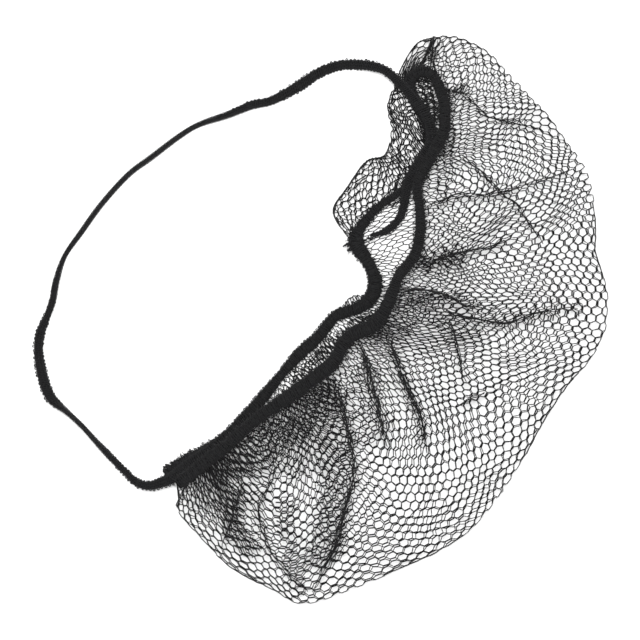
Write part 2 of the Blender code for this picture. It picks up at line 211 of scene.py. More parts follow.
def net_section(start, fold, edge, end):
    """One section through the net, the distances along it, and those of its fold and of its lip."""
    floor = NET_WALL / 2
    flap_run = fold - start[:2]
    flap_length = np.linalg.norm(flap_run)
    flap_way = flap_run / flap_length
    flap_top = start[2] + (FLAP_HEIGHT - start[2]) * min(1, flap_length / (4 * BAND_WIDTH))
    turn = (flap_top - floor) / 2
    straight = max(1e-6, flap_length - turn)
    travelled = np.linspace(0, straight + math.pi * turn, FLAP_STEPS)
    angle = np.maximum(0, travelled - straight) / turn
    level = np.minimum(travelled, straight)
    high = start[2] + (flap_top - start[2]) * level / straight - turn * (1 - np.cos(angle))
    flap = np.column_stack([start[:2] + flap_way * (level + turn * np.sin(angle))[:, None], high])

    radius = min(EDGE_RADIUS, 0.3 * np.linalg.norm(edge - end[:2]))
    outward = unit(edge - end[:2])
    centre = edge - outward * radius
    tucked_in = np.linspace(start[:2] + flap_way * straight, start[:2], UNDER_STEPS)[1:]
    ground = np.vstack([tucked_in, np.linspace(start[:2], centre, FLOOR_STEPS)[1:-1]])
    ground = np.column_stack([ground, np.full(len(ground), floor)])

    angle = np.linspace(0, math.pi, EDGE_STEPS)[:, None]
    around = centre + outward * radius * np.sin(angle)
    turned = np.column_stack([around, floor + radius * (1 - np.cos(angle))])
    share = np.linspace(0, 1, TOP_STEPS)[1:, None]
    crown = CROWN * min(1, np.linalg.norm(centre - end[:2]) / (0.5 * POUCH_REACH))
    edge_top = floor + 2 * radius
    high = edge_top + (end[2] - edge_top) * share + crown * np.sin(math.pi * share)
    top = np.column_stack([centre + (end[:2] - centre) * share, high])

    points = np.vstack([flap, ground, turned, top])
    travelled = travel(steps_of(points))
    travelled -= travelled[len(flap) + len(ground) + EDGE_STEPS // 2]
    return points, travelled, travelled[len(flap) - 1], travelled[len(flap) + len(tucked_in) - 1]


def net_surface():
    """Points on the net for every column, the column's reach and its section number."""
    dense = np.linspace(0, LAST, 721)
    edge, lower, upper = (
        steps_of(smooth_through(line, dense)[:, :2]) for line in (edge_points, lower_points, upper_points)
    )
    pace = FOLD_SHARE * edge + LIP_SHARE * (lower + upper)
    pace *= np.interp(dense[1:], CROWDING["section"], CROWDING["share"])
    travelled = travel(pace)
    first = np.interp(NET_FROM, dense, travelled)
    numbers = np.interp(np.linspace(first, travelled[-1], COLUMNS + 1), travelled, dense)
    lower, upper, edge = (
        smooth_through(line, numbers) for line in (lower_points, upper_points, edge_points)
    )
    left, right = side_of(lower), -side_of(upper)
    lean = smooth_through(np.column_stack([RIM_WIDTHS["sway"], RIM_WIDTHS["lean"]]), numbers)
    beside = (0.3 + np.minimum(lean, 0)) * BAND_WIDTH
    start = lower + in_space(left * beside[:, :1])
    end = upper + in_space(right * beside[:, 1:])
    points = np.empty((COLUMNS + 1, ALONG, 3))
    reach = np.empty((COLUMNS + 1, 4))
    for column, parts in enumerate(zip(start, flap_fold(numbers, lower, left), edge, end)):
        section, travelled, flap_end, under_lip = net_section(*parts)
        reach[column] = travelled[0], travelled[-1], flap_end, under_lip
        even = np.linspace(travelled[0], travelled[-1], ALONG)
        points[column] = np.column_stack([np.interp(even, travelled, axis) for axis in section.T])
    return points, reach, numbers


surface, reach, section_of = net_surface()
cad_low, cad_high = (np.array(corner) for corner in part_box("net_bag"))
own_low, own_high = surface.reshape(-1, 3).min(axis=0), surface.reshape(-1, 3).max(axis=0)
middle = (cad_low + cad_high - own_low - own_high) / 2
ON_TABLE = np.array([middle[0], middle[1], 0])
every_column = np.arange(COLUMNS + 1)


def on_net(columns, distances):
    """Places on the net at column numbers, which may be fractions, and distances."""
    columns = np.clip(columns, 0, COLUMNS - 1e-6)
    first = columns.astype(int)
    part = (columns - first)[..., None]
    found = []
    for column in (first, first + 1):
        low, high = reach[column, FIRST], reach[column, FINAL]
        at = np.clip((distances - low) / (high - low), 0, 1) * (ALONG - 1)
        step = np.minimum(at.astype(int), ALONG - 2)
        share = (at - step)[..., None]
        found.append(surface[column, step] * (1 - share) + surface[column, step + 1] * share)
    return found[0] * (1 - part) + found[1] * part


# How slantwise the net was drawn to the mouth. The rows say for every section how many columns
# lower than square the net reaches the lips, on the floor and on the top, and how many lower it
# lies at the outer fold. Slant and spread fade out over these lengths of net.
SLANTS = table("floor top spread", [
    (0, 0, 9), (0, 0, 9), (0, 0, 8.5), (-1, -2, 8), (-2, -4, 7), (-3, -6, 5.5), (-3, -8, 4),
    (-2, -10, 2.5), (-1, -12, 1), (1, -10, 0), (2.6, -6, 0), (3.8, -1.5, 0), (5.2, 3.5, 0), (6.7, 8.5, 0),
    (8.7, 12, 0), (11.7, 13.6, 0), (15.3, 15, 0), (18.5, 16.8, 0), (20, 17.6, 0), (19, 15.6, 0),
    (16, 11.6, 0), (11, 7.2, 0), (6, 3.4, 0), (2, 0.8, 0), (0, 0, 0),
])
SLANT_LENGTH = 0.075
SLANT_BEND = 1.2
SPREAD_LENGTH = 0.060
slant_of = smooth_through(np.column_stack([SLANTS["floor"], SLANTS["top"], SLANTS["spread"]]), section_of)


def drawn(columns, distance):
    """Columns as they lie: round the mouth the threads run slantwise down to the lips."""
    floor_slant, top_slant, spread = (np.interp(columns, every_column, row) for row in slant_of.T)
    slant = -np.where(distance < 0, floor_slant, top_slant)
    high, under_lip = (
        np.interp(columns + slant, every_column, reach[:, end]) for end in (FINAL, UNDER_LIP)
    )
    beyond = np.where(distance < 0, distance - under_lip, high - distance)
    outward = np.clip(1 - np.abs(distance) / SPREAD_LENGTH, 0, 1)
    return columns + slant * np.clip(1 - beyond / SLANT_LENGTH, 0, 1) ** SLANT_BEND - spread * outward


# The creases that show as dark lines on the top layer, where the net is folded over itself and
# its threads lie close together. Places are shares of the pouch's reach and length, width and
# height are shares of the sizes here, and the folds are threads that lie along a crease.
CREASE_WIDTH = 0.0024
CREASE_HEIGHT = 0.0020
CREASE_START, CREASE_END = 8, 5
CREASES = [
    # (width, tightness, height, folds, places)
    (1, 0.85, 0.8, 3, [(0.144, 0.366), (0.223, 0.363), (0.323, 0.354), (0.394, 0.352), (0.475, 0.341),
        (0.575, 0.323)]),
    (1, 0.92, 1, 3, [(0.146, 0.252), (0.195, 0.296), (0.251, 0.32), (0.309, 0.342), (0.383, 0.384),
        (0.441, 0.421), (0.494, 0.462)]),
    (1, 0.8, 0.6, 2, [(-0.089, 0.424), (-0.048, 0.442), (0.001, 0.455), (0.067, 0.454), (0.126, 0.448),
        (0.214, 0.466), (0.317, 0.488)]),
    (1, 0.85, 0.8, 2, [(0.266, 0.173), (0.332, 0.22), (0.422, 0.267), (0.456, 0.305)]),
    (1, 0.88, 1, 2, [(0.25, 0.107), (0.306, 0.131), (0.366, 0.146), (0.416, 0.152), (0.472, 0.154),
        (0.529, 0.169)]),
    (1, 0.92, 1, 4, [(0.428, 0.126), (0.485, 0.137), (0.537, 0.148), (0.607, 0.165), (0.64, 0.177),
        (0.667, 0.198), (0.712, 0.226), (0.764, 0.25), (0.818, 0.271)]),
    (1, 0.75, 0.6, 2, [(0.445, 0.118), (0.512, 0.098), (0.581, 0.067), (0.645, 0.043)]),
    (1.3, 0.85, 1, 3, [(0.319, 0.026), (0.379, 0.007), (0.448, -0.015), (0.519, -0.035), (0.589, -0.054),
        (0.678, -0.1)]),
    (1.6, 0.7, 0.8, 3, [(0.235, -0.004), (0.347, -0.048), (0.467, -0.097), (0.549, -0.128)]),
    (1.5, 0.85, 1, 4, [(0.275, -0.098), (0.332, -0.12), (0.39, -0.144), (0.495, -0.195), (0.553, -0.263),
        (0.598, -0.312), (0.622, -0.367), (0.642, -0.42)]),
    (1.2, 0.78, 0.8, 2, [(0.25, -0.272), (0.273, -0.3), (0.302, -0.355), (0.428, -0.4), (0.63, -0.424)]),
    (0.8, 0.7, 0.5, 2, [(0.667, 0.004), (0.688, 0.029), (0.722, 0.05)]),
    (1, 0.65, 0.5, 2, [(0.178, -0.322), (0.222, -0.372), (0.253, -0.417), (0.274, -0.449)]),
    (0.9, 0.7, 0.5, 1, [(-0.199, 0.484), (-0.146, 0.468), (-0.083, 0.45), (-0.024, 0.435)]),
]


# Where the net has been pushed round a little as it was laid down: the place in shares of the
# pouch's reach and length, how far it is felt, the turn in degrees, and on which layer.
TWISTS = [
    ("floor", (0.142, 0.149), 0.0120, 3),
    ("top", (-0.089, 0.496), 0.0120, 26),
]


def twisted(points, share, on_floor):
    """Turns each layer of the net about the places where it was pushed round."""
    for level, place, felt, turn in TWISTS:
        middle = in_pouch(place)
        offset = points[..., :2] - middle
        near = np.exp(-(offset**2).sum(axis=-1) / felt**2)
        near *= share if level == "top" else (1 - share) * on_floor
        angle = math.radians(turn) * near
        cosine, sine = np.cos(angle), np.sin(angle)
        points[..., 0] = middle[0] + cosine * offset[..., 0] - sine * offset[..., 1]
        points[..., 1] = middle[1] + sine * offset[..., 0] + cosine * offset[..., 1]
    return points


def line_through(places, count):
    """A smooth line through places in the pouch."""
    return smooth_through(in_pouch(places), np.linspace(0, len(places) - 1, count))


def nearest_on(line, places):
    """The offset from each place to the nearest point of a line, and how far along that is."""
    runs = steps_of(line)
    travelled = travel(runs) / runs.sum()
    best = np.full(len(places), np.inf)
    offset = np.zeros_like(places)
    along = np.zeros(len(places))
    for i, (a, b) in enumerate(zip(line[:-1], line[1:])):
        way = b - a
        t = np.clip(((places - a) @ way) / (way @ way), 0, 1)
        away = places - a - t[:, None] * way
        far = np.linalg.norm(away, axis=1)
        near = far < best
        best[near], offset[near] = far[near], away[near]
        along[near] = travelled[i] + (travelled[i + 1] - travelled[i]) * t[near]
    return offset, best, along


def creased(points, share):
    """Draws the points of the top layer, by their share in it, towards the creases."""
    shape = points.shape
    points = points.reshape(-1, 3).copy()
    share = share.reshape(-1)
    for width, tight, height, _, places in CREASES:
        offset, far, along = nearest_on(line_through(places, 5 * len(places)), points[:, :2])
        near = np.exp(-((far / (width * CREASE_WIDTH)) ** 2)) * share
        near *= np.clip(CREASE_START * along + 0.25, 0, 1) * np.clip(CREASE_END * (1 - along), 0, 1)
        points[:, :2] -= offset * (tight * near)[:, None]
        points[:, 2] += height * CREASE_HEIGHT * near
    return points.reshape(shape)


# The honeycomb tulle itself. Its threads run the length of the pouch in pairs of chains that swing
# from side to side: two neighbours lie together for the length of one cell side and part again.
# The thread doesn't stretch, so where the net is gathered on the band the cells lie flat and long.
THREAD_RADIUS = 0.000205
THREAD_SPREAD = (0.85, 1.15)
CELL_SIDE = 0.00212
CELL_SPARE = 0.3 * CELL_SIDE
CELL_COLOUR = (0.005, 0.005, 0.0055)
PACES = 134
PACE_COLUMNS = COLUMNS / PACES
LEAST_PACE = 0.0004
LONGEST_RUN = 0.92 * CELL_SIDE
LEAST_UPRIGHT, ROUND_UPRIGHT = 0.35, 2 / 3
UPRIGHT_GAP = 0.00011
COLUMN_SIDES = 0.8
WAY_COLUMNS, WAY_LENGTH = 0.6, 0.0004
LINES_EACH_WAY = 78
LINE_SMOOTHING = 6
ALL_CHAINS = np.arange(2 * LINES_EACH_WAY)
SHORTEST = 3
THREAD_SIDES = 3
# How the cells stray, in columns to the side and in metres onward, as (size, length of the waves,
# first seed), and how far each of their corners is shaken out of place, in cell sides. They stray
# less in the last columns at each end.
SHIFTS = ((0.35, 0.034, 10), (0.10, 0.010, 20))
SLIDES = ((0.0006, 0.036, 30), (0.00014, 0.010, 40))
SHAKE_ALONG, SHAKE_ACROSS = 0.075, 0.07
CALM_COLUMNS = 8
# The top layer begins so far past the outer fold, and is all its own so much further on.
TOP_FROM = 0.002
TOP_BLEND = 0.006
# The floor was laid flat together with the top, so its cells lie under the top's own. That ends
# over so long a stretch at the upper lip.
MATCH_LENGTH = 0.020
MATCH_FROM = 0.002
MATCH_STRAY = (0.0004, 0.035, 95)
# The flap is where the net puffs out beyond the upper half of the lower lip. Its outermost line
# lies so far before the place where it has turned under. Where the flap is double, the floor's
# own net ends just past the lip.
FLAP_FROM = 14.3
FOLD_BACK = 0.0017
DOUBLE_FROM, DOUBLE_TO = 18.4, 21.9
PAST_LIP = 0.002
END_SPARE = 0.2
flap_columns = np.arange(np.searchsorted(section_of, FLAP_FROM), COLUMNS + 1)


def wander(a, b, size, length, seed):
    """Smooth irregularity over two directions, about so large and so long in its waves."""
    made = np.random.default_rng(seed)
    total = np.zeros(np.broadcast(a, b).shape)
    count = 7
    for _ in range(count):
        turn, phase = made.uniform(0, 2 * math.pi, 2)
        wave = 2 * math.pi / (length * made.uniform(0.6, 1.6))
        total += np.sin(wave * (a * math.cos(turn) + b * math.sin(turn)) + phase)
    return size * total / math.sqrt(count / 2)


def smoothed(values, each_way):
    """A row of values, each made the mean of itself and so many neighbours on either side."""
    count = 2 * each_way + 1
    return np.convolve(np.pad(values, each_way, mode="edge"), np.ones(count) / count, mode="valid")


def line_distances():
    """For each column, how far along it the lines of cells lie, and their upright share there."""
    lines = np.zeros((COLUMNS + 1, 2 * LINES_EACH_WAY + 1))
    upright = np.full(lines.shape, ROUND_UPRIGHT)
    for way in (-1, 1):
        at = np.zeros(COLUMNS + 1)
        for line in range(1, LINES_EACH_WAY + 1):
            ahead = on_net(drawn(np.minimum(every_column + 1.0, COLUMNS), at), at)
            behind = on_net(drawn(np.maximum(every_column - 1.0, 0), at), at)
            pace = np.linalg.norm(ahead - behind, axis=1) * PACE_COLUMNS / 2
            pace = np.maximum(pace, LEAST_PACE)
            run = np.clip(pace - CELL_SIDE, pace / 3, LONGEST_RUN)
            at = at + way * smoothed(np.sqrt(CELL_SIDE**2 - run**2), LINE_SMOOTHING)
            lines[:, LINES_EACH_WAY + way * line] = at
            share = np.clip(1 - run / pace, LEAST_UPRIGHT, ROUND_UPRIGHT)
            upright[:, LINES_EACH_WAY + way * line] = share
    return lines, upright


line_at, line_upright = line_distances()


def between(values, column, line):
    """A table over columns and lines, read at column numbers that may be fractions."""
    column = np.clip(column, 0, COLUMNS - 1e-6)
    first = column.astype(int)
    return values[first, line] + (values[first + 1, line] - values[first, line]) * (column - first)


def zigzag(paces, chains):
    """Which paces of each chain are even ones, and the line of cells that it lies on there."""
    even = (paces[None] + chains[:, None]) % 2 == 0
    return even, np.where(even, chains[:, None], chains[:, None] + 1)


def shaken(own, rows, size, seed):
    """How far the corners of the cells are shaken; the two chains at a corner go together."""
    spots = np.random.default_rng(seed).normal(0, size, (rows, own.shape[1], 2))
    shake = spots[own, np.arange(own.shape[1])[None]]
    return shake[..., :1], shake[..., 1:]


def above_table(points, height):
    """Raises those points that lie lower than a height."""
    points[..., 2] = np.maximum(points[..., 2], height)
    return points


def chain_points(chains, sideways=0.0, onward=0.0, seed=1):
    """The corner points of some chains, two for every pace: columns, distances and ways inward."""
    paces = np.arange(PACES + 1)
    even, line = zigzag(paces, chains)
    middle = np.broadcast_to(paces[None] * PACE_COLUMNS, line.shape)
    upright = between(line_upright, middle, line)
    line = np.repeat(line, 2, axis=1)
    ends = np.tile([-0.5, 0.5], len(paces))[None] * np.repeat(upright, 2, axis=1)
    column = np.repeat(middle, 2, axis=1) + ends * PACE_COLUMNS
    distance = between(line_at, column, line)
    inward = np.repeat(np.where(even, 1.0, -1.0), 2, axis=1)
    across = column * CELL_SIDE * COLUMN_SIDES
    shift, slide = (
        sum(wander(across, distance, size, length, first + seed) for size, length, first in waves)
        for waves in (SHIFTS, SLIDES)
    )
    ends = np.clip(np.minimum(column, COLUMNS - column) / CALM_COLUMNS, 0, 1)
    return drawn(column, distance) + shift * ends + sideways, distance + slide + onward, inward


def top_share(distance):
    """How much a place belongs to the top layer: 0 on the floor, 1 well onto the top."""
    return np.clip((distance - TOP_FROM) / TOP_BLEND, 0, 1)


def net_ways(column, distance):
    """Directions on the net's surface: along its columns, across them, and square to both."""
    across = unit(on_net(column + WAY_COLUMNS, distance) - on_net(column - WAY_COLUMNS, distance))
    along = unit(on_net(column, distance + WAY_LENGTH) - on_net(column, distance - WAY_LENGTH))
    return along, across, unit(np.cross(along, across))


def reach_at(columns):
    """How far the net reaches at column numbers."""
    return reach[np.clip(columns, 0, COLUMNS).astype(int)]


def matched_floor(points, column, distance, others):
    """Draws the points of the floor to those of the top layer that lie over them."""
    above_column, above, _ = others
    above_high = reach_at(above_column)[..., FINAL]
    share = np.clip((above_high - above - MATCH_FROM) / MATCH_LENGTH, 0, 1)
    share = share * share * (3 - 2 * share) * (distance < 0)
    over = on_net(above_column, np.clip(above, 0, above_high))[..., :2]
    points[..., :2] += (over - points[..., :2]) * share[..., None]
    size, length, seed = MATCH_STRAY
    for way in (0, 1):
        points[..., way] += wander(column * CELL_SIDE, distance, size, length, seed + way) * share
    return points


def net_chains(chains, sideways=0.0, onward=0.0, seed=1):
    """Chain paths with surface normals, where they are alive, and their distances on the net."""
    column, distance, inward = chain_points(chains, sideways, onward, seed)
    low, high, flap_end, under_lip = np.moveaxis(reach_at(column), -1, 0)
    low = np.where(column > flap_columns[0], flap_end - FOLD_BACK, low)
    alive = (distance > low - CELL_SPARE) & (distance < high + CELL_SPARE)
    section = np.interp(column, every_column, section_of)
    alive &= (section < DOUBLE_FROM) | (distance > under_lip - PAST_LIP)
    alive &= column > -END_SPARE
    distance = np.clip(distance, low, high)
    others = chain_points(2 * LINES_EACH_WAY - 1 - chains, sideways, onward, seed)
    points = matched_floor(on_net(column, distance), column, distance, others)
    along, across, normal = net_ways(column, distance)
    own = np.where(inward > 0, chains[:, None], chains[:, None] + 1)
    shake_along, shake_across = shaken(own, 2 * LINES_EACH_WAY + 2, 1, 77)
    points = points + along * (shake_along * SHAKE_ALONG * CELL_SIDE)
    points = points + across * (shake_across * SHAKE_ACROSS * CELL_SIDE)
    on_floor = (points[..., 2] < 2 * NET_WALL).astype(float)
    points = creased(twisted(points, top_share(distance), on_floor), top_share(distance))
    points = points + along * (inward[..., None] * UPRIGHT_GAP)
    return above_table(points, THREAD_RADIUS) + ON_TABLE, normal, alive, distance


def rounded(points, normal):
    """Adds a point in the middle of every slanting stretch, and keeps the uprights straight."""
    middle = (points[:, 1:-1:2] + points[:, 2::2]) / 2
    middle_normal = normal[:, 1:-1:2] + normal[:, 2::2]
    chains, count = points.shape[:2]
    made = np.empty((chains, count + count // 2 - 1, 3))
    made_normal = np.empty_like(made)
    for target, ends, mids in ((made, points, middle), (made_normal, normal, middle_normal)):
        target[:, 0::3] = ends[:, 0::2]
        target[:, 1::3] = ends[:, 1::2]
        target[:, 2::3] = mids
    return made, unit(made_normal)


def runs_of(mask):
    """The first and last-plus-one places of each unbroken run in a row of truths."""
    edges = np.flatnonzero(np.diff(np.concatenate([[0], mask.astype(int), [0]])))
    return list(zip(edges[0::2], edges[1::2]))


def add_thread(threads, line, normal=None, size=1.0, spread=THREAD_SPREAD):
    """Adds one thread to a piece: its line, the normals along it and its uneven radii."""
    if normal is None:
        normal = np.tile([0.0, 0.0, 1.0], (len(line), 1)) + 1e-3
    threads.append((line, normal, size * THREAD_RADIUS * rng.uniform(*spread, len(line))))


def add_chains(threads, points, normal, alive, least, size=1.0):
    """Adds chains to a piece, each as one thread for every stretch of it that is alive."""
    alive = np.repeat(alive[:, ::2] | alive[:, 1::2], 3, axis=1)[:, :-1]
    points, normal = rounded(points, normal)
    for line, up, mask in zip(points, normal, alive):
        for first, last in runs_of(mask):
            if last - first > least:
                add_thread(threads, line[first:last], up[first:last], size)


def add_line(threads, columns, distances):
    """Adds one thread that follows the net's surface."""
    add_thread(threads, above_table(on_net(columns, distances) + ON_TABLE, THREAD_RADIUS))


def tubes(threads, sides):
    """Closed round threads, as one set of points, four-sided faces and end faces."""
    points, faces, caps = [], [], []
    start = 0
    angles = 2 * math.pi * np.arange(sides) / sides
    for line, normal, radius in threads:
        tangent = unit(np.gradient(line, axis=0))
        side = unit(np.cross(tangent, normal))
        up = np.cross(side, tangent)
        ring = (
            line[:, None]
            + radius[:, None, None] * np.cos(angles)[None, :, None] * up[:, None]
            + radius[:, None, None] * np.sin(angles)[None, :, None] * side[:, None]
        )
        grid = start + np.arange(len(line) * sides).reshape(len(line), sides)
        faces.append(between_rings(grid))
        caps += [grid[0, ::-1], grid[-1]]
        points.append(ring.reshape(-1, 3))
        start += len(line) * sides
    return np.vstack(points), np.vstack(faces), caps


def between_rings(grid):
    """Four-sided faces between closed rings of points, one ring to a row."""
    turned = np.roll(grid, -1, axis=1)
    return np.stack([grid[:-1], turned[:-1], turned[1:], grid[1:]], axis=-1).reshape(-1, 4)


def in_scene(name, data):
    """A new object in the scene."""
    made = bpy.data.objects.new(name, data)
    bpy.context.scene.collection.objects.link(made)
    return made


def joined_piece(name, parts, finishes):
    """One object from parts: points, four-sided faces, end faces and the number of the finish."""
    points, corners, sizes, slots = [], [], [], []
    start = 0
    for part_points, faces, caps, slot in parts:
        points.append(part_points)
        corners += [(faces + start).reshape(-1), *(cap + start for cap in caps)]
        sizes += [np.full(len(faces), 4), [len(cap) for cap in caps]]
        slots.append(np.full(len(faces) + len(caps), slot))
        start += len(part_points)
    points, corners, sizes, slots = (np.concatenate(group) for group in (points, corners, sizes, slots))
    mesh = bpy.data.meshes.new(name)
    mesh.vertices.add(len(points))
    mesh.vertices.foreach_set("co", points.astype(np.float32).reshape(-1))
    mesh.loops.add(len(corners))
    mesh.loops.foreach_set("vertex_index", corners.astype(np.int32))
    mesh.polygons.add(len(sizes))
    starts = np.concatenate([[0], np.cumsum(sizes)[:-1]]).astype(np.int32)
    mesh.polygons.foreach_set("loop_start", starts)
    for finish in finishes:
        mesh.materials.append(finish)
    mesh.polygons.foreach_set("material_index", slots.astype(np.int32))
    mesh.update(calc_edges=True)
    mesh.validate()
    mesh.shade_smooth()
    return in_scene(name, mesh)


def yarn_finish(name, colour, roughness, grain, depth):
    """Black yarn: slightly uneven colour, and a fine raised grain of twisted fibres."""
    made = bpy.data.materials.new(name)
    made.use_nodes = True
    nodes, links = made.node_tree.nodes, made.node_tree.links
    shader = nodes["Principled BSDF"]
    sockets = ("Roughness", "Sheen Weight", "Sheen Roughness", "Specular IOR Level")
    for socket, value in zip(sockets, (roughness, 0.06, 0.5, 0.15)):
        shader.inputs[socket].default_value = value
    place = nodes.new("ShaderNodeTexCoord")
    speckle = nodes.new("ShaderNodeTexNoise")
    speckle.inputs["Scale"].default_value = grain
    speckle.inputs["Detail"].default_value = 3
    links.new(place.outputs["Object"], speckle.inputs["Vector"])
    blend = nodes.new("ShaderNodeValToRGB")
    for stop, position, share in zip(blend.color_ramp.elements, (0.35, 0.75), (0.6, 1.7)):
        stop.position = position
        stop.color = (*(share * part for part in colour), 1)
    links.new(speckle.outputs["Fac"], blend.inputs["Fac"])
    links.new(blend.outputs["Color"], shader.inputs["Base Color"])
    raised = nodes.new("ShaderNodeBump")
    raised.inputs["Strength"].default_value = 0.5
    raised.inputs["Distance"].default_value = depth
    links.new(speckle.outputs["Fac"], raised.inputs["Height"])
    links.new(raised.outputs["Normal"], shader.inputs["Normal"])
    return made


net_finish = yarn_finish("net_thread", CELL_COLOUR, 0.55, 5000, 0.00005)


def net_piece(name, threads):
    """One piece of the net's bare threads."""
    return joined_piece(name, [(*tubes(threads, THREAD_SIDES), 0)], (net_finish,))


# The flap's top, which the net's own slack has puffed out beyond the lower lip. Its cells lie
# slack and round there, in rows that follow its fold. Pace, step and rise are a cell's width, the
# way from row to row and how far the first row stands back from the fold, in millimetres.
FLAP_CELLS = table("section pace step rise", [
    (14, 2.5, 1.5, 0), (18.2, 2.5, 1.5, 0), (19.5, 1.8, 1.35, 0), (21.5, 1.8, 1.35, 0),
    (22.3, 2.8, 1.2, 2), (24, 2.8, 1.15, 2),
])
FLAP_LINES = 18
FLAP_THREAD = 1.15
FLAP_SHIFT, FLAP_SLIDE = (0.25, 6, 91), (0.3, 7, 92)
FLAP_SHAKE = 0.00014
# The threads of the fold itself: first and last section, and how far back from the fold. Where
# the flap is double, a second net lies on the table below the first, and a little beside it.
FOLD_LINES = ((14.3, 18.4, 0.0), (14.3, 18.0, 0.0011), (21.8, 24.0, 0.0), (22.2, 24.0, 0.0010))
FOLD_LINE_POINTS = 60
BELOW_OFFSET = (0.0007, 0.0006, 0.0)


def flap_size(size, number):
    """A size of the flap's cells at section numbers."""
    return np.interp(number, FLAP_CELLS["section"], 0.001 * FLAP_CELLS[size])


def flap_chains():
    """Chain paths on the flap with surface normals, counted from the fold back to the lip."""
    columns = flap_columns
    fold = reach[columns, FLAP_END] - FOLD_BACK
    middle = on_net(columns.astype(float), (fold + reach[columns, FIRST]) / 2)
    pace = flap_size("pace", section_of[columns])
    travelled = travel(steps_of(middle) / pace[1:])
    paces = np.arange(int(travelled[-1]) + 3)
    chains = np.arange(-1, FLAP_LINES)
    even, line = zigzag(paces, chains)
    line = np.repeat(line, 2, axis=1)
    place = np.repeat(paces, 2) + np.tile([-1 / 3, 1 / 3], len(paces)) + np.zeros((len(chains), 1))
    place = place + wander(place, 1.0 * line, *FLAP_SHIFT)
    column = np.interp(place, travelled, columns)
    number = np.interp(column, columns, section_of[columns])
    at_fold = np.interp(column, columns, fold)
    low = np.interp(column, columns, reach[columns, FIRST])
    distance = at_fold - flap_size("step", number) * (line + wander(place, 1.0 * line, *FLAP_SLIDE))
    distance -= flap_size("rise", number) * np.clip(line, 0, 1)
    alive = distance > low - CELL_SPARE
    distance = np.maximum(distance, low)
    along, across, normal = net_ways(column, distance)
    inward = np.repeat(np.where(even, -1.0, 1.0), 2, axis=1)
    shake_along, shake_across = shaken(line + 1, len(chains) + 1, FLAP_SHAKE, 93)
    points = on_net(column, distance) + along * shake_along + across * shake_across
    points = points + along * (inward[..., None] * UPRIGHT_GAP)
    return above_table(points, THREAD_RADIUS) + ON_TABLE, normal, alive, number


def net_flap(name):
    """The flap's top and what lies doubled below it, with the double line of its fold."""
    points, normal, alive, number = flap_chains()
    below = points + np.array(BELOW_OFFSET)
    below[..., 2] = 2 * THREAD_RADIUS
    doubled = alive & (number > DOUBLE_FROM) & (number < DOUBLE_TO)
    both = (np.concatenate(pair) for pair in ((points, below), (normal, normal), (alive, doubled)))
    threads = []
    add_chains(threads, *both, SHORTEST, FLAP_THREAD)
    for first, last, back in FOLD_LINES:
        columns = np.interp(np.linspace(first, last, FOLD_LINE_POINTS), section_of, every_column)
        fold = np.interp(columns, flap_columns, reach[flap_columns, FLAP_END])
        add_line(threads, columns, fold - FOLD_BACK - back)
    return net_piece(name, threads)


flap_piece = net_flap("net_flap")
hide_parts("net_bag")
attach(flap_piece, "root")


# The rest of the pouch's net, knitted from end to end of the pouch, in three panels: the floor by
# the lower lip, the outer part of both layers with the fold between them, and the top layer by the
# upper lip. The first one also has the threads that run along both ends of the net.
PANELS = 3
END_COLUMNS = (0.0, 0.4, COLUMNS - 0.4, COLUMNS)
END_POINTS = 90


def net_panel(name, chains, end_columns):
    """One panel of chains, with any threads along the ends of the net."""
    threads = []
    points, normal, alive, _ = net_chains(chains)
    add_chains(threads, points, normal, alive, SHORTEST)
    for column in end_columns:
        low, high = reach[round(min(column, COLUMNS - 1)), [FIRST, FINAL]]
        add_line(threads, np.full(END_POINTS, column), np.linspace(low, high, END_POINTS))
    return net_piece(name, threads)


for panel, chains in enumerate(np.array_split(ALL_CHAINS, PANELS)):
    piece = net_panel(f"net_panel_{panel + 1}", chains, () if panel else END_COLUMNS)
    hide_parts("net_bag")
    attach(piece, "root")


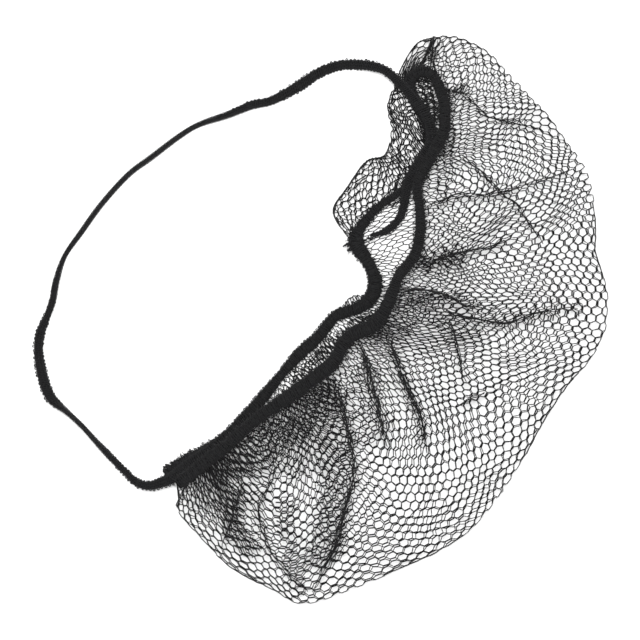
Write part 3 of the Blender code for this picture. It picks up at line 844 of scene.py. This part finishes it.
# Where the net is drawn together at the lips and down from them, it lies in folds over itself.
# These are the extra layers of those folds: how wide and how many, and the line they follow in
# shares of the pouch's reach and length.
GATHERS = [
    # (width, copies, layer, places)
    (0.005, 2, "top", [(0.155, -0.261), (0.214, -0.227), (0.247, -0.185)]),
    (0.0022, 1, "top", [(0.352, 0.015), (0.454, -0.015), (0.545, -0.045), (0.638, -0.083)]),
    (0.008, 3, "top", [(0.066, -0.332), (0.13, -0.283), (0.191, -0.218), (0.225, -0.155)]),
    (0.0064, 1, "top", [(0.056, -0.402), (0.149, -0.387), (0.228, -0.348)]),
    (0.0048, 2, "top", [(0.166, -0.359), (0.243, -0.398), (0.336, -0.421)]),
    (0.0056, 4, "top", [(0.246, -0.115), (0.284, -0.128)]),
    (0.0062, 2, "top", [(0.284, -0.128), (0.357, -0.164), (0.428, -0.205), (0.488, -0.251),
        (0.548, -0.303), (0.583, -0.356)]),
    (0.006, 1, "top", [(0.386, -0.171), (0.474, -0.229), (0.543, -0.293)]),
    (0.006, 1, "top", [(0.246, -0.188), (0.327, -0.247)]),
    (0.006, 1, "top", [(0.267, 0.029), (0.307, 0.07), (0.355, 0.113), (0.458, 0.136)]),
    (0.004, 1, "top", [(0.432, 0.154), (0.485, 0.128), (0.512, 0.098)]),
    (0.0048, 1, "top", [(0.435, 0.106), (0.568, 0.124)]),
    (0.0026, 1, "top", [(0.422, 0.146), (0.515, 0.163), (0.613, 0.171), (0.67, 0.199), (0.739, 0.239),
        (0.81, 0.271)]),
    (0.003, 2, "top", [(0.261, 0.173), (0.302, 0.194), (0.345, 0.22)]),
    (0.004, 1, "floor", [(-0.031, 0.3), (0.018, 0.273), (0.044, 0.238)]),
    (0.0036, 5, "floor", [(-0.169, 0.446), (-0.128, 0.434), (-0.087, 0.413), (-0.032, 0.386),
        (0.001, 0.351)]),
    (0.0036, 1, "top", [(0.355, -0.315), (0.46, -0.366), (0.586, -0.428)]),
    (0.0036, 3, "floor", [(0.137, -0.188), (0.142, -0.125), (0.151, -0.064), (0.185, -0.017),
        (0.223, 0.041)]),
    (0.0024, 1, "top", [(0.049, 0.399), (0.123, 0.343), (0.17, 0.282)]),
    (0.0018, 3, "top", [(-0.2, 0.504), (-0.175, 0.493), (-0.156, 0.477)]),
    (0.0024, 2, "top", [(-0.048, 0.451), (0.004, 0.471)]),
    (0.006, 1, "top", [(0.322, -0.044), (0.389, -0.082), (0.467, -0.121)]),
    (0.007, 1, "top", [(0.207, -0.283), (0.267, -0.253), (0.324, -0.215)]),
]
# Each extra layer is moved by up to so many columns and cell sides, and lies so much above the
# floor or under the top, but no lower than the least height.
COPY_COLUMNS = 2.5
COPY_CELLS = 2
FLOOR_COPY = 0.0002
TOP_COPY = 0.0007
TOP_UNDER = 0.0004
COPY_LEAST = 0.0006
COPY_SHORTEST = 5
# The threads along the creases sway as (size, length of the waves).
FOLD_POINTS = 90
FOLD_LIFT = 0.0002
FOLD_SWAY, FOLD_RIPPLE = (0.00042, 0.014), (0.00009, 0.004)


def fold_threads():
    """Threads that lie side by side along the creases, where a fold has drawn them straight."""
    points, _, alive, distance = net_chains(ALL_CHAINS)
    top = (points - ON_TABLE)[alive & (distance > TOP_FROM)]
    for width, _, _, folds, places in CREASES:
        line = line_through(places, FOLD_POINTS)
        nearest = ((top[None, :, :2] - line[:, None]) ** 2).sum(axis=-1).argmin(axis=1)
        height = smoothed(top[nearest, 2], 4)
        travelled = travel(steps_of(line))
        for thread in range(folds + 1):
            sway = wander(travelled, 0.0, FOLD_SWAY[0] * width, FOLD_SWAY[1], rng.integers(1000))
            sway += wander(travelled, 0.0, *FOLD_RIPPLE, rng.integers(1000))
            first, last = (rng.integers(0, 16), rng.integers(-36, 0)) if thread else (0, -1)
            path = np.column_stack([line + side_of(line) * sway[:, None], height + FOLD_LIFT])[first:last]
            yield path + ON_TABLE


def net_gathers(name):
    """The folded layers of net in the gathers, as one more piece of thread."""
    threads = []
    for copy in range(1, 1 + max(gather[1] for gather in GATHERS)):
        sideways = rng.uniform(-COPY_COLUMNS, COPY_COLUMNS)
        onward = rng.uniform(-1, 1) * COPY_CELLS * CELL_SIDE
        points, normal, alive, distance = net_chains(ALL_CHAINS, sideways, onward, 1 + 7 * copy)
        within = np.zeros(alive.shape, bool)
        for wide, copies, level, places in GATHERS:
            if copies < copy:
                continue
            flat = (points - ON_TABLE)[..., :2].reshape(-1, 2)
            far = nearest_on(line_through(places, 4 * len(places)), flat)[1].reshape(alive.shape)
            near = far < wide * rng.uniform(0.6, 1.25, (len(ALL_CHAINS), 1))
            within |= near & ((distance > TOP_FROM) if level == "top" else (distance < -TOP_FROM))
        share = top_share(distance)
        points[..., 2] += FLOOR_COPY * copy * (1 - share) - (TOP_UNDER + TOP_COPY * copy) * share
        add_chains(threads, above_table(points, COPY_LEAST), normal, alive & within, COPY_SHORTEST)
    for path in fold_threads():
        add_thread(threads, path, spread=(0.7, 1.1))
    return net_piece(name, threads)


gathers = net_gathers("net_gathers")
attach(gathers, "root")


# The rim band, a knitted elastic: covered rubber threads make its core, a weft yarn winds round it
# with small loops at the edges, and rows of chain stitches hold the weft down. It runs up the
# lower lip, turns at the top end and comes back down the upper lip.
BAND_STEP = 0.0002
SQUARENESS = 0.62
CORE_SHARE = 0.86
CORE_STEP, CORE_SIDES = 0.0006, 12
WEFT_RADIUS = 0.00016
WEFT_PITCH = 0.00077
WEFT_STEPS = 14
WEFT_WANDER = (0.00012, 0.004, 51)
RIB_SLANT = 0.22
CHAIN_RADIUS = 0.00011
CHAIN_ROWS = (-0.62, 0.0, 0.62)
LOOP_PITCH = 0.00145
LOOP_RADIUS = 0.00022
LOOP_REACH = 0.00060
BIG_LOOP = 0.0010
FUZZ_RADIUS = 0.000022
FUZZ_LENGTH = 0.00050
FUZZ_TAPER = np.array([1.2, 1.0, 0.4])
WEFT_COLOUR = (0.0116, 0.0116, 0.0126)
# The core is coloured much darker than the weft as painted shade in the gaps between the weft's turns,
# where little light reaches.
CORE_SHADE_COLOUR = (0.0024, 0.0024, 0.0027)
WEFT, CORE = 0, 1
# The turn at the top end: its place by the mouth and its lift, and its width and sway.
RIM_TURN = (-0.68, 0.530, 0.95)
TURN_WIDTH, TURN_SWAY = 0.9, -0.5


def even_steps(points, step):
    """The same curve with its points a step apart, and how far along it each one is."""
    travelled = travel(steps_of(points[:, :3]))
    far = np.linspace(0, travelled[-1], max(4, round(travelled[-1] / step)) + 1)
    return far, np.column_stack([np.interp(far, travelled, column) for column in points.T])


def laid_band(points, turns, wide, thick, sway):
    """A band's middle line with its side and face directions and half sizes, all along it."""
    rows = np.column_stack([points, turns, wide, thick, sway])
    rows = smooth_through(rows, np.linspace(0, len(rows) - 1, 30 * len(rows)))
    rows = even_steps(rows, BAND_STEP)[1]
    centre = rows[:, :3] + ON_TABLE
    centre = centre + in_space(side_of(centre)) * (rows[:, 6] * BAND_WIDTH)[:, None]
    far, rows = even_steps(np.column_stack([centre, rows[:, 3:6]]), BAND_STEP)
    centre = rows[:, :3]
    tangent = unit(np.gradient(centre, axis=0))
    flat = in_space(side_of(centre))
    turn = rows[:, 3:4]
    side = flat * np.cos(turn) + np.cross(tangent, flat) * np.sin(turn)
    half_wide = rows[:, 4] * BAND_WIDTH / 2
    half_thick = rows[:, 5] * BAND_THICKNESS / 2
    reach_down = np.abs(half_wide * np.sin(rows[:, 3])) + np.abs(half_thick * np.cos(rows[:, 3]))
    centre[:, 2] = np.maximum(centre[:, 2], 0.96 * reach_down)
    face = np.cross(tangent, side)
    return dict(far=far, centre=centre, side=side, face=face, wide=half_wide, thick=half_thick)


def on_band(band, far, across, over, out=0.0):
    """Places on a band: how far along it, shares of its half sizes, and any way out sideways."""
    centre, side, face = (
        np.stack([np.interp(far, band["far"], axis) for axis in band[name].T], axis=-1)
        for name in ("centre", "side", "face")
    )
    wide = across * np.interp(far, band["far"], band["wide"]) + out
    thick = over * np.interp(far, band["far"], band["thick"])
    return centre + side * wide[..., None] + face * thick[..., None]


def round_profile(angle):
    """A flat oval's shares across and over at an angle, from the outer edge over the face."""
    cosine, sine = np.cos(angle), np.sin(angle)
    across = np.sign(cosine) * np.abs(cosine) ** SQUARENESS
    over = np.sign(sine) * np.abs(sine) ** SQUARENESS
    return across, over


def band_core(band):
    """The closed body of the elastic, under its yarns, in a darker finish that is painted shade in the
    gaps between them.
    """
    count = round(band["far"][-1] / CORE_STEP) + 1
    far = np.linspace(0, band["far"][-1], count)[:, None] + np.zeros(CORE_SIDES)
    across, over = round_profile(2 * math.pi * np.arange(CORE_SIDES) / CORE_SIDES)
    rings = on_band(band, far, CORE_SHARE * across + 0 * far, CORE_SHARE * over + 0 * far)
    grid = np.arange(count * CORE_SIDES).reshape(count, CORE_SIDES)
    return rings.reshape(-1, 3), between_rings(grid), [grid[0, ::-1], grid[-1]], CORE


def weft_line(band):
    """The weft's path: round and round the band."""
    turns = int((band["far"][-1] - WEFT_PITCH) / WEFT_PITCH)
    at = np.arange(turns * WEFT_STEPS + 1) / WEFT_STEPS
    across, over = round_profile(2 * math.pi * at)
    half = np.interp(WEFT_PITCH * at, band["far"], band["wide"])
    far = WEFT_PITCH * (at + 0.35) + RIB_SLANT * half * across * np.sign(over)
    far += wander(far, 0 * far, *WEFT_WANDER)
    share = 1 - WEFT_RADIUS / BAND_THICKNESS
    return on_band(band, np.clip(far, 0, band["far"][-1]), share * across, share * over)


def loop_lines(band, big_share):
    """The small loops that the weft makes along both edges, a few of them drawn out."""
    lines, sizes = [], []
    angle = np.linspace(-0.15, 1.15, 7) * math.pi
    for edge, shortness in ((1, 1.0), (-1, 0.6)):
        count = int(band["far"][-1] / LOOP_PITCH)
        middles = (np.arange(count) + 0.5 + rng.uniform(-0.18, 0.18, count)) * LOOP_PITCH
        for middle in middles:
            big = rng.uniform() < big_share
            height = BIG_LOOP * rng.uniform(0.7, 1.2) if big else LOOP_REACH * rng.uniform(0.4, 1.35)
            width = LOOP_PITCH * rng.uniform(0.24, 0.34)
            far = np.clip(middle - width * np.cos(angle), 0, band["far"][-1])
            out = edge * (shortness * height * np.sin(angle) - LOOP_RADIUS)
            over = rng.uniform(-0.45, 0.45) + 0.15 * np.cos(angle)
            lines.append(on_band(band, far, edge + 0 * far, over, out))
            sizes.append(LOOP_RADIUS * (0.6 if big else rng.uniform(0.8, 1.15)))
    return lines, sizes


def chain_lines(band):
    """The rows of chain stitches that hold the weft down, on both faces."""
    far = np.arange(0, band["far"][-1], WEFT_PITCH / 2)
    number = np.arange(len(far))
    for face in (1, -1):
        for row in CHAIN_ROWS:
            sway = 0.10 * np.where(number % 4 < 2, 1, -1) + rng.normal(0, 0.02, len(far))
            high = 1.0 + 0.10 * np.where(number % 2 == 0, 1, -1)
            yield on_band(band, far, row + sway, face * high)


def fuzz_lines(band, count):
    """Short loose fibres that stand off the yarns."""
    far = rng.uniform(0, band["far"][-1], count)
    across, over = round_profile(rng.uniform(0, 2 * math.pi, count))
    base = on_band(band, far, across, over)
    beyond = on_band(band, far, 1.3 * across, 1.3 * over)
    way = unit(unit(beyond - base) + rng.normal(0, 0.55, base.shape))
    bend = rng.normal(0, 0.35, base.shape)
    length = FUZZ_LENGTH * rng.uniform(0.35, 1.4, (count, 1))
    steps = [base - way * 0.0001, base + way * length * 0.5, base + unit(way + bend) * length]
    return list(above_table(np.stack(steps, axis=1), FUZZ_RADIUS))


def yarn_part(lines, sizes, sides):
    """Closed yarns along lines above the table, each with its own radius or row of radii."""
    threads = []
    for line, size in zip(lines, sizes):
        normal = np.tile([0.03, 0.02, 1.0], (len(line), 1))
        threads.append((above_table(line, np.max(size)), normal, size * np.ones(len(line))))
    return (*tubes(threads, sides), WEFT)


def elastic_piece(name, band, hairs, big_share):
    """One whole elastic: core, weft, edge loops, chain stitches and fuzz."""
    loops, loop_sizes = loop_lines(band, big_share)
    chains = list(chain_lines(band))
    parts = [
        band_core(band),
        yarn_part([weft_line(band)], [WEFT_RADIUS], 4),
        yarn_part(loops, loop_sizes, 4),
        yarn_part(chains, [CHAIN_RADIUS] * len(chains), 3),
        yarn_part(fuzz_lines(band, hairs), [FUZZ_RADIUS * FUZZ_TAPER] * hairs, 3),
    ]
    return joined_piece(name, parts, (weft_finish, core_painted_shade_finish))


rim_turn = by_mouth(*RIM_TURN[:2], lifted(RIM_TURN[2], 2))
rim_points = np.vstack([lower_points, rim_turn, upper_points[::-1]])
rim_wide = np.concatenate([RIM_WIDTHS["lower"], [TURN_WIDTH], RIM_WIDTHS["upper"][::-1]])
rim_sway = np.concatenate([RIM_WIDTHS["sway"], [TURN_SWAY], RIM_WIDTHS["lean"][::-1]])
rim = laid_band(rim_points, np.zeros(len(rim_points)), rim_wide, np.ones(len(rim_points)), rim_sway)
weft_finish = yarn_finish("elastic_weft", WEFT_COLOUR, 0.85, 3500, 0.00006)
# The core's finish is the darker one: painted shade between the weft's turns, not a different yarn colour.
core_painted_shade_finish = yarn_finish("elastic_core_painted_shade", CORE_SHADE_COLOUR, 0.90, 3500, 0.00006)
rim_piece = elastic_piece("rim_elastic", rim, 1400, 0.01)
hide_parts("rim_band")
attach(rim_piece, "root")


# The net's gathered edge, which is wound round the rim band and sewn down with it. Its threads
# cross the band's face and reach a little past both edges, but less so where the flap hides them.
EDGE_THREADS = 1100
EDGE_THREAD_RADIUS = 0.00013
EDGE_PAST = 0.0013
WRAP_POINTS = 7
BARE_FROM, BARE_TO = 3, 14


def length_to(section):
    """How far along the lower lip a section lies."""
    return steps_of(lower_points[: section + 1]).sum()


def wrap_lines(band, count, past, bare):
    """Threads over a band's face, between random places beside and past its edges."""
    for far in rng.uniform(0.0005, band["far"][-1] - 0.0005, count):
        first, last = rng.uniform(-0.15, 0.35), rng.uniform(0.65, 1.15)
        angle = np.linspace(first, last, WRAP_POINTS) * math.pi
        across, over = round_profile(angle)
        slope = rng.normal(0, 0.0006) * (angle - angle.mean()) / math.pi * 2
        lift = 1.04 + rng.uniform(0, 0.12)
        ends = np.zeros(WRAP_POINTS)
        outer = 0.25 * past if bare[0] < far < bare[1] else past
        ends[0], ends[-1] = rng.uniform(0, outer) * (first < 0.1), -rng.uniform(0, past) * (last > 0.9)
        at = np.clip(far + slope, 0, band["far"][-1])
        yield on_band(band, at, lift * across, lift * over, ends)


bare = (length_to(BARE_FROM), length_to(BARE_TO))
wrapped = wrap_lines(rim, EDGE_THREADS, EDGE_PAST, bare)
edge_part = yarn_part(wrapped, [EDGE_THREAD_RADIUS] * EDGE_THREADS, 3)
edge_piece = joined_piece("net_edge_threads", [edge_part], (net_finish,))
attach(edge_piece, "root")


# The head band, a length of the same elastic without any net on it. It is sewn in between the two
# lips at both ends of the mouth. Where it stands on its edge or twists it looks like a cord, and
# its free end is left over inside the mouth as a thin tail.
HEAD_REACH = 0.090
HEAD_LOOP = table("x y turn lift wide thick", [
    (-0.088, -0.498, 0, 0.85, 0.8, 1), (-0.149, -0.511, 0, 0.45, 0.7, 1),
    (-0.218, -0.508, 15, 0.1, 0.56, 1), (-0.309, -0.501, 50, 0, 0.62, 1), (-0.4, -0.493, 80, 0, 0.8, 0.8),
    (-0.493, -0.484, 88, 0, 0.9, 0.8), (-0.582, -0.479, 80, 0, 0.9, 0.8),
    (-0.665, -0.476, 38, 0, 0.95, 1), (-0.724, -0.463, 15, 0, 0.93, 1), (-0.786, -0.44, 0, 0, 0.9, 1),
    (-0.845, -0.412, 0, 0, 0.8, 1), (-0.884, -0.381, 0, 0, 0.82, 1), (-0.905, -0.343, 30, 0, 0.6, 1),
    (-0.925, -0.311, 45, 0, 0.6, 1), (-0.964, -0.273, 60, 0, 0.65, 0.9),
    (-0.998, -0.222, 80, 0, 0.6, 0.7), (-1.001, -0.162, 83, 0, 0.85, 0.8),
    (-1.001, -0.09, 83, 0, 0.85, 0.8), (-0.982, -0.01, 83, 0, 0.85, 0.8),
    (-0.944, 0.048, 78, 0, 0.85, 0.8), (-0.9, 0.115, 83, 0, 0.85, 0.8), (-0.858, 0.16, 83, 0, 0.8, 0.8),
    (-0.779, 0.212, 60, 0, 0.7, 1), (-0.723, 0.254, 45, 0, 0.85, 1), (-0.66, 0.288, 45, 0, 0.85, 1),
    (-0.6, 0.345, 15, 0, 0.95, 1), (-0.562, 0.392, 5, 0, 0.88, 1), (-0.507, 0.429, 0, 0, 0.86, 1),
    (-0.436, 0.454, 0, 0.25, 0.86, 1), (-0.364, 0.47, 0, 0.85, 0.78, 1), (-0.29, 0.473, 0, 1.03, 0.76, 1),
])
# Its sewn ends lie on the lower lip between these sections. The tail's sizes are shares too.
HEAD_SEWN_LOW, SEWN_LOW_WIDE = (2.2, 0.3), [1.1, 1.2, 1.1]
HEAD_SEWN_HIGH, SEWN_HIGH_WIDE = (21.0, 17.4), [0.8, 0.9, 0.9, 0.9, 0.85]
TAIL = table("x y lift wide thick", [
    (0.263, 0.283, 0.75, 0.76, 0.9), (0.34, 0.26, 0.2, 0.68, 0.8), (0.362, 0.237, 0, 0.64, 0.7),
    (0.313, 0.209, 0, 0.54, 0.6), (0.159, 0.181, 0, 0.2, 0.3),
])


def sewn_stretch(first, last, count):
    """Part of the lower lip's line, one layer up, where the head band is sewn on."""
    route = smooth_through(lower_points, np.linspace(first, last, count))
    route[:, 2] = layer(1)
    return route


loop_turn = np.radians(HEAD_LOOP["turn"])
floor = BAND_WIDTH / 2 * HEAD_LOOP["wide"] * np.abs(np.sin(loop_turn))
floor += BAND_THICKNESS / 2 * HEAD_LOOP["thick"] * np.cos(loop_turn)
loop_points = np.column_stack([
    HEAD_LOOP["x"] * HEAD_REACH, HEAD_LOOP["y"] * MOUTH_LENGTH,
    floor + HEAD_LOOP["lift"] * (layer(1) - floor),
])
tail_points = by_mouth(TAIL["x"], TAIL["y"], lifted(TAIL["lift"], 1))
low_points = sewn_stretch(*HEAD_SEWN_LOW, len(SEWN_LOW_WIDE))
high_points = sewn_stretch(*HEAD_SEWN_HIGH, len(SEWN_HIGH_WIDE))
flat_low, flat_high = np.zeros(len(low_points)), np.zeros(len(high_points) + len(tail_points))
head_points = np.vstack([low_points, loop_points, high_points, tail_points])
head_turns = np.concatenate([flat_low, loop_turn, flat_high])
head_wide = np.concatenate([SEWN_LOW_WIDE, HEAD_LOOP["wide"], SEWN_HIGH_WIDE, TAIL["wide"]])
head_thick = np.concatenate([flat_low + 1, HEAD_LOOP["thick"], np.ones(len(high_points)), TAIL["thick"]])
head = laid_band(head_points, head_turns, head_wide, head_thick, np.zeros(len(head_points)))
head_piece = elastic_piece("head_elastic", head, 1300, 0.04)
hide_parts("head_band")
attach(head_piece, "root")


# The sewing that joins the elastics. A zigzag seam crosses the stacked bands at both ends of the
# mouth, and the cut ends of the yarns stand out as small tufts there and at the lower lip's bend.
SEAM_RADIUS = 0.00013
SEAM_PITCH = 0.10
SEAM_SAG = 0.0001
SEAMS = ((0.15, 2.4), (17.6, 18.9), (20.2, 21.2))
TUFTS = table("x y way yarns hairs reach", [
    (-0.22, -0.447, 165, 5, 4, 0.002), (-0.199, -0.43, 160, 5, 5, 0.0018),
    (-0.113, -0.404, 165, 4, 3, 0.0016), (-0.02, 0.143, 233, 2, 12, 0.0017),
    (0.01, 0.133, 245, 1, 8, 0.0013), (0.19, 0.179, 215, 1, 6, 0.0016),
])
STUBS = 0.00045 * np.array([1, 1.1, 1, 0.75])
HAIRS = 0.00006 * np.array([1, 1, 1, 0.5])
TUFT_LEAST = 0.0003


def seam_lines():
    """The zigzag stitches over the lips, each down beside the bands at both of its ends."""
    lines = []
    half = BAND_WIDTH / 2
    top = BAND_THICKNESS / 2 + SEAM_RADIUS
    height = layer(1) + top
    for first, last in SEAMS:
        numbers = np.arange(first, last, SEAM_PITCH)
        lower = smooth_through(lower_points, numbers)
        upper = smooth_through(upper_points, numbers + 0.5 * SEAM_PITCH)
        for low, high, left, right in zip(lower, upper, side_of(lower), -side_of(upper)):
            lines.append(ON_TABLE + np.array([
                (*(low[:2] + left * 1.10 * half), layer(0)),
                (*(low[:2] + left * 0.95 * half), height),
                (*low[:2], height + SEAM_SAG),
                (*((low[:2] + high[:2]) / 2), max(height, high[2])),
                (*high[:2], high[2] + top + SEAM_SAG),
                (*(high[:2] + right * 0.95 * half), high[2] + top),
                (*(high[:2] + right * 1.10 * half), high[2] - top),
            ]))
    return lines


def tuft_lines():
    """Thick yarn stubs and thin hairs that fan out from each tuft's root."""
    stubs, hairs = [], []
    for tuft in TUFTS:
        root = by_mouth(tuft["x"], tuft["y"], layer(0.4))[0] + ON_TABLE
        for number in range(int(tuft["yarns"] + tuft["hairs"])):
            way = math.radians(tuft["way"] + rng.normal(0, 28))
            length = tuft["reach"] * rng.uniform(0.6, 1.2)
            start = root + np.array([*rng.normal(0, 0.0005, 2), rng.uniform(-0.0004, 0.0008)])
            ahead = np.array([math.cos(way), math.sin(way), rng.uniform(-0.2, 0.35)])
            bent = ahead + np.array([*rng.normal(0, 0.5, 2), -0.2])
            half_way = start + ahead * length / 2
            line = np.array([start - ahead * 0.0012, start, half_way, half_way + bent * length / 2])
            (stubs if number < tuft["yarns"] else hairs).append(above_table(line, TUFT_LEAST))
    return stubs, hairs


seams = seam_lines()
stubs, stub_hairs = tuft_lines()
sewing_parts = [
    yarn_part(seams, [SEAM_RADIUS] * len(seams), 4),
    yarn_part(stubs, [STUBS] * len(stubs), 6),
    yarn_part(stub_hairs, [HAIRS] * len(stub_hairs), 3),
]
sewing = joined_piece("sewing_thread", sewing_parts, (weft_finish,))
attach(sewing, "root")


# A plain white table, lit softly from straight above as the net was.
TABLE_SIZE = 3.0
TABLE_DROP = 0.0002
LAMP_SIZE, LAMP_ENERGY, LAMP_PLACE, LAMP_TILT = 0.45, 22, (-0.12, 0.10, 1.4), (-4, -5, 0)
WORLD_STRENGTH = 0.5
table_mesh = bpy.data.meshes.new("table_top")
corners = [(x * TABLE_SIZE / 2, y * TABLE_SIZE / 2, -TABLE_DROP)
           for x, y in ((-1, -1), (1, -1), (1, 1), (-1, 1))]
table_mesh.from_pydata(corners, [], [(0, 1, 2, 3)])
table_top = in_scene("table_top", table_mesh)
white = bpy.data.materials.new("table_white")
white.use_nodes = True
shader = white.node_tree.nodes["Principled BSDF"]
shader.inputs["Base Color"].default_value = (0.9, 0.9, 0.9, 1)
shader.inputs["Roughness"].default_value = 0.9
table_mesh.materials.append(white)

world = bpy.data.worlds.new("studio")
world.use_nodes = True
sky = world.node_tree.nodes["Background"]
sky.inputs["Color"].default_value = (1, 1, 1, 1)
sky.inputs["Strength"].default_value = WORLD_STRENGTH
bpy.context.scene.world = world
bpy.context.scene.view_settings.view_transform = "Standard"

lamp_data = bpy.data.lights.new("overhead_softbox", "AREA")
lamp_data.shape = "SQUARE"
lamp_data.size = LAMP_SIZE
lamp_data.energy = LAMP_ENERGY
lamp = in_scene("overhead_softbox", lamp_data)
lamp.location = LAMP_PLACE
lamp.rotation_euler = [math.radians(tilt) for tilt in LAMP_TILT]


# The camera looks straight down, turned so that the pouch lies to the lower right of the picture.
PICTURE_TURN = math.radians(36)
PICTURE_WIDTH = 0.256
PICTURE_CENTRE = (0.0077, -0.0038)
CAMERA_HEIGHT = 1.2
SENSOR_WIDTH = 36
camera_data = bpy.data.cameras.new("camera")
camera_data.sensor_width = SENSOR_WIDTH
camera_data.lens = SENSOR_WIDTH * CAMERA_HEIGHT / PICTURE_WIDTH
camera = in_scene("camera", camera_data)
camera.location = (PICTURE_CENTRE[0] + ON_TABLE[0], PICTURE_CENTRE[1] + ON_TABLE[1], CAMERA_HEIGHT)
camera.rotation_euler = (0, 0, PICTURE_TURN)
bpy.context.scene.camera = camera
